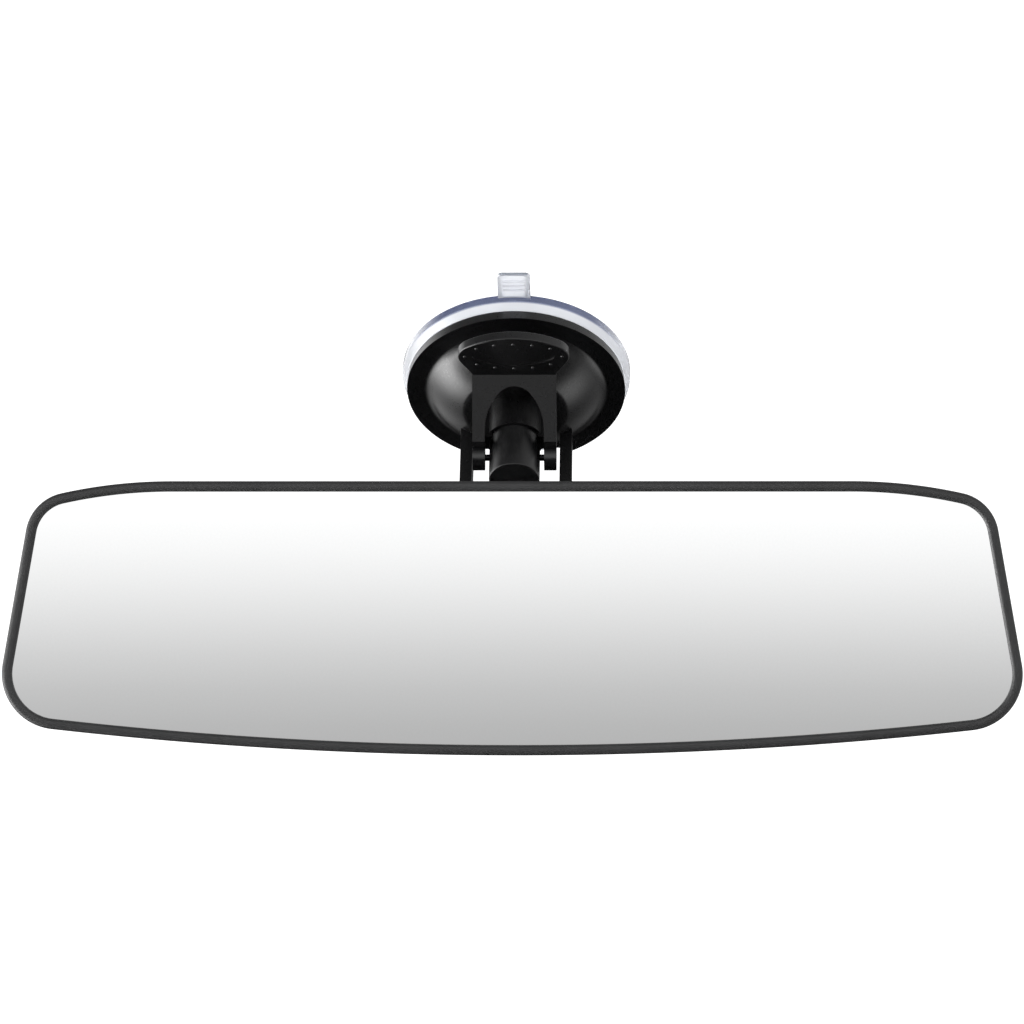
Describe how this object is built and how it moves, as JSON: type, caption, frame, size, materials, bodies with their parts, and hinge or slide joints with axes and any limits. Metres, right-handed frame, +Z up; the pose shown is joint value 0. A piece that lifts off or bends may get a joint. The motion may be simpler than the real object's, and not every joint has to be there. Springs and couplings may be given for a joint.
{
  "type": "interior rearview mirror",
  "caption": "Wide flat interior rearview mirror on a cranked arm with a ball joint, held to a windscreen by a lever-locked suction cup with a pull tab.",
  "frame": {"origin": "centre of the suction face, on the windscreen's inner surface", "axes": "+X along the mirror to the viewer's right, -Y the way the glass faces, +Z up; the suction face's outward normal points up and forward at 51 degrees to the level"},
  "size_m": [0.3, 0.0942, 0.1435],
  "materials": {
    "clear_pvc": "soft, clear, glossy",
    "gloss_black_abs": "smooth moulded, glossy",
    "black_nylon": "moulded, satin",
    "textured_black_abs": "fine spark-eroded grain",
    "liner_acetal": "moulded, smooth",
    "spring_steel": "drawn wire and strip",
    "zinc_steel": "zinc plated",
    "polished_steel": "ground and polished",
    "mirror_glass": "float glass silvered on the back",
    "pe_foam": "closed-cell foam tape"
  },
  "bodies": {
    "base": {"suction_pad": "clear_pvc", "base_cover": "gloss_black_abs", "return_spring": "spring_steel", "hinge_screw": "zinc_steel", "hinge_nut": "zinc_steel"},
    "stem": {"pad_stem": "gloss_black_abs", "lever_pin": "polished_steel"},
    "lever": {"lever": "gloss_black_abs"},
    "arm": {"mirror_arm": "black_nylon", "friction_washers": "black_nylon", "ball_stud": "polished_steel"},
    "liner_left": {"socket_liner_left": "liner_acetal"},
    "liner_right": {"socket_liner_right": "liner_acetal"},
    "head": {"pressure_cup": "black_nylon", "disc_spring": "spring_steel", "clamp_plate": "zinc_steel", "clamp_screws": "zinc_steel", "socket_housing": "black_nylon", "rear_shell": "textured_black_abs", "front_frame": "textured_black_abs", "mirror_glass": "mirror_glass", "foam_pads": "pe_foam"}
  },
  "joints": [
    {"name": "stem_stroke", "type": "slide", "parent": "base", "child": "stem", "axis": [0, 0.6293, 0.7771], "range_m": [0, 0.002], "deforming": ["suction_pad", "return_spring"]},
    {"name": "lever_pivot", "type": "hinge", "parent": "stem", "child": "lever", "pos_m": [0, -0.02196, -0.02712], "axis": [1, 0, 0], "range_deg": [0, 61]},
    {"name": "arm_hinge", "type": "hinge", "parent": "base", "child": "arm", "pos_m": [0, -0.01102, -0.04062], "axis": [1, 0, 0], "range_deg": [-6, 12]},
    {"name": "ball_pan", "type": "hinge", "parent": "arm", "child": "liner_left", "pos_m": [0, -0.04802, -0.06882], "axis": [0, 0, 1], "range_deg": [-20, 20]},
    {"name": "ball_tilt", "type": "hinge", "parent": "liner_left", "child": "liner_right", "pos_m": [0, -0.04802, -0.06882], "axis": [1, 0, 0], "range_deg": [-15, 15]},
    {"name": "ball_roll", "type": "hinge", "parent": "liner_right", "child": "head", "pos_m": [0, -0.04802, -0.06882], "axis": [0, 1, 0], "range_deg": [-10, 10]}
  ],
  "couplings": [
    {"joint": "lever_pivot", "follows": "stem_stroke", "rad_per_m": 523.6}
  ]
}
